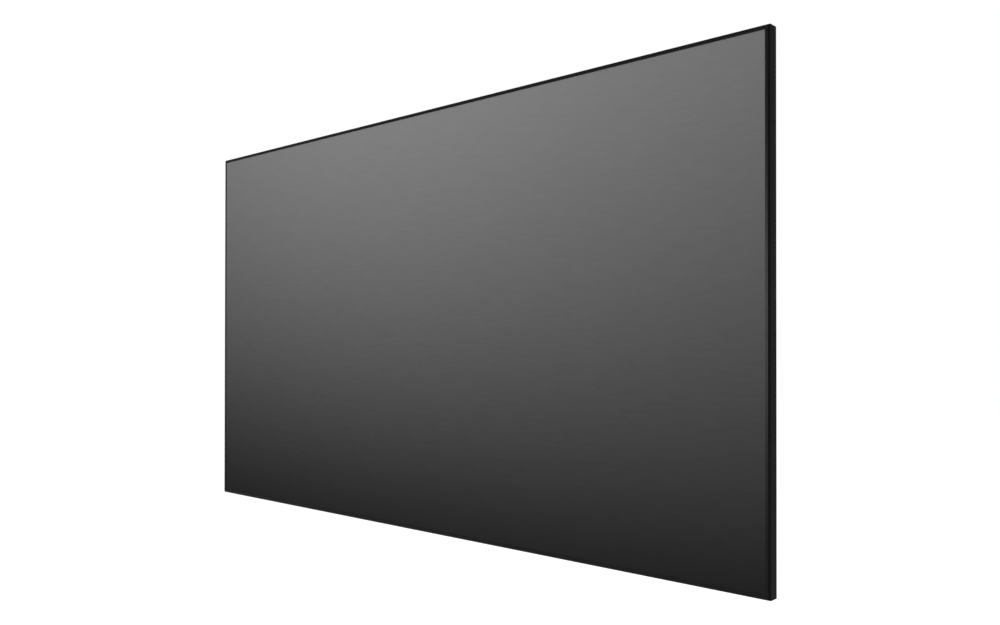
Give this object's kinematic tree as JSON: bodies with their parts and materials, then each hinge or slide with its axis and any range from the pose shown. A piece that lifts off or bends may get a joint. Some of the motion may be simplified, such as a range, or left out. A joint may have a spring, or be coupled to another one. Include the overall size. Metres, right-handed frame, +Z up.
{
  "type": "projector screen",
  "caption": "Wall-hung fixed-frame projector screen: grey ribbed light-rejecting fabric stretched on an aluminium frame with a thin black bevelled bezel.",
  "frame": {"origin": "centre of the bounding box: halfway across, halfway up, and halfway between the bezel's front and the wall", "axes": "+X to the right seen from the front, +Y from the picture side back to the wall, +Z up"},
  "size_m": [2.236, 0.036, 1.267],
  "materials": {
    "bezel_black": "black anodised, satin",
    "rail_black": "black anodised, matt",
    "screen_surface": "matt grey with fine level ribs",
    "glass_fibre": "pultruded glass fibre rod",
    "spring_steel": "bright drawn wire",
    "zinc_steel": "zinc plated",
    "bracket_black": "black powder coat"
  },
  "bodies": {
    "root": {"bezel_bottom_left": "bezel_black", "bezel_bottom_right": "bezel_black", "bezel_left": "bezel_black", "bezel_right": "bezel_black", "bezel_top_left": "bezel_black", "bezel_top_right": "bezel_black", "corner_bracket_bottom_left": "zinc_steel", "corner_bracket_bottom_right": "zinc_steel", "corner_bracket_top_left": "zinc_steel", "corner_bracket_top_right": "zinc_steel", "hook_bottom_1": "spring_steel", "hook_bottom_2": "spring_steel", "hook_bottom_3": "spring_steel", "hook_bottom_4": "spring_steel", "hook_bottom_5": "spring_steel", "hook_bottom_6": "spring_steel", "hook_bottom_7": "spring_steel", "hook_bottom_8": "spring_steel", "hook_bottom_9": "spring_steel", "hook_left_1": "spring_steel", "hook_left_2": "spring_steel", "hook_left_3": "spring_steel", "hook_left_4": "spring_steel", "hook_left_5": "spring_steel", "hook_right_1": "spring_steel", "hook_right_2": "spring_steel", "hook_right_3": "spring_steel", "hook_right_4": "spring_steel", "hook_right_5": "spring_steel", "hook_top_1": "spring_steel", "hook_top_2": "spring_steel", "hook_top_3": "spring_steel", "hook_top_4": "spring_steel", "hook_top_5": "spring_steel", "hook_top_6": "spring_steel", "hook_top_7": "spring_steel", "hook_top_8": "spring_steel", "hook_top_9": "spring_steel", "rail_bottom_left": "rail_black", "rail_bottom_right": "rail_black", "rail_left": "rail_black", "rail_right": "rail_black", "rail_top_left": "rail_black", "rail_top_right": "rail_black", "screen_fabric": "screen_surface", "splice_bar_bottom": "zinc_steel", "splice_bar_top": "zinc_steel", "support_bar": "rail_black", "support_clip_bottom": "zinc_steel", "support_clip_top": "zinc_steel", "tension_rod_bottom": "glass_fibre", "tension_rod_left": "glass_fibre", "tension_rod_right": "glass_fibre", "tension_rod_top": "glass_fibre", "wall_bracket_bottom_1": "bracket_black", "wall_bracket_bottom_2": "bracket_black", "wall_bracket_top_1": "bracket_black", "wall_bracket_top_2": "bracket_black", "wall_bracket_top_3": "bracket_black"}
  },
  "joints": []
}
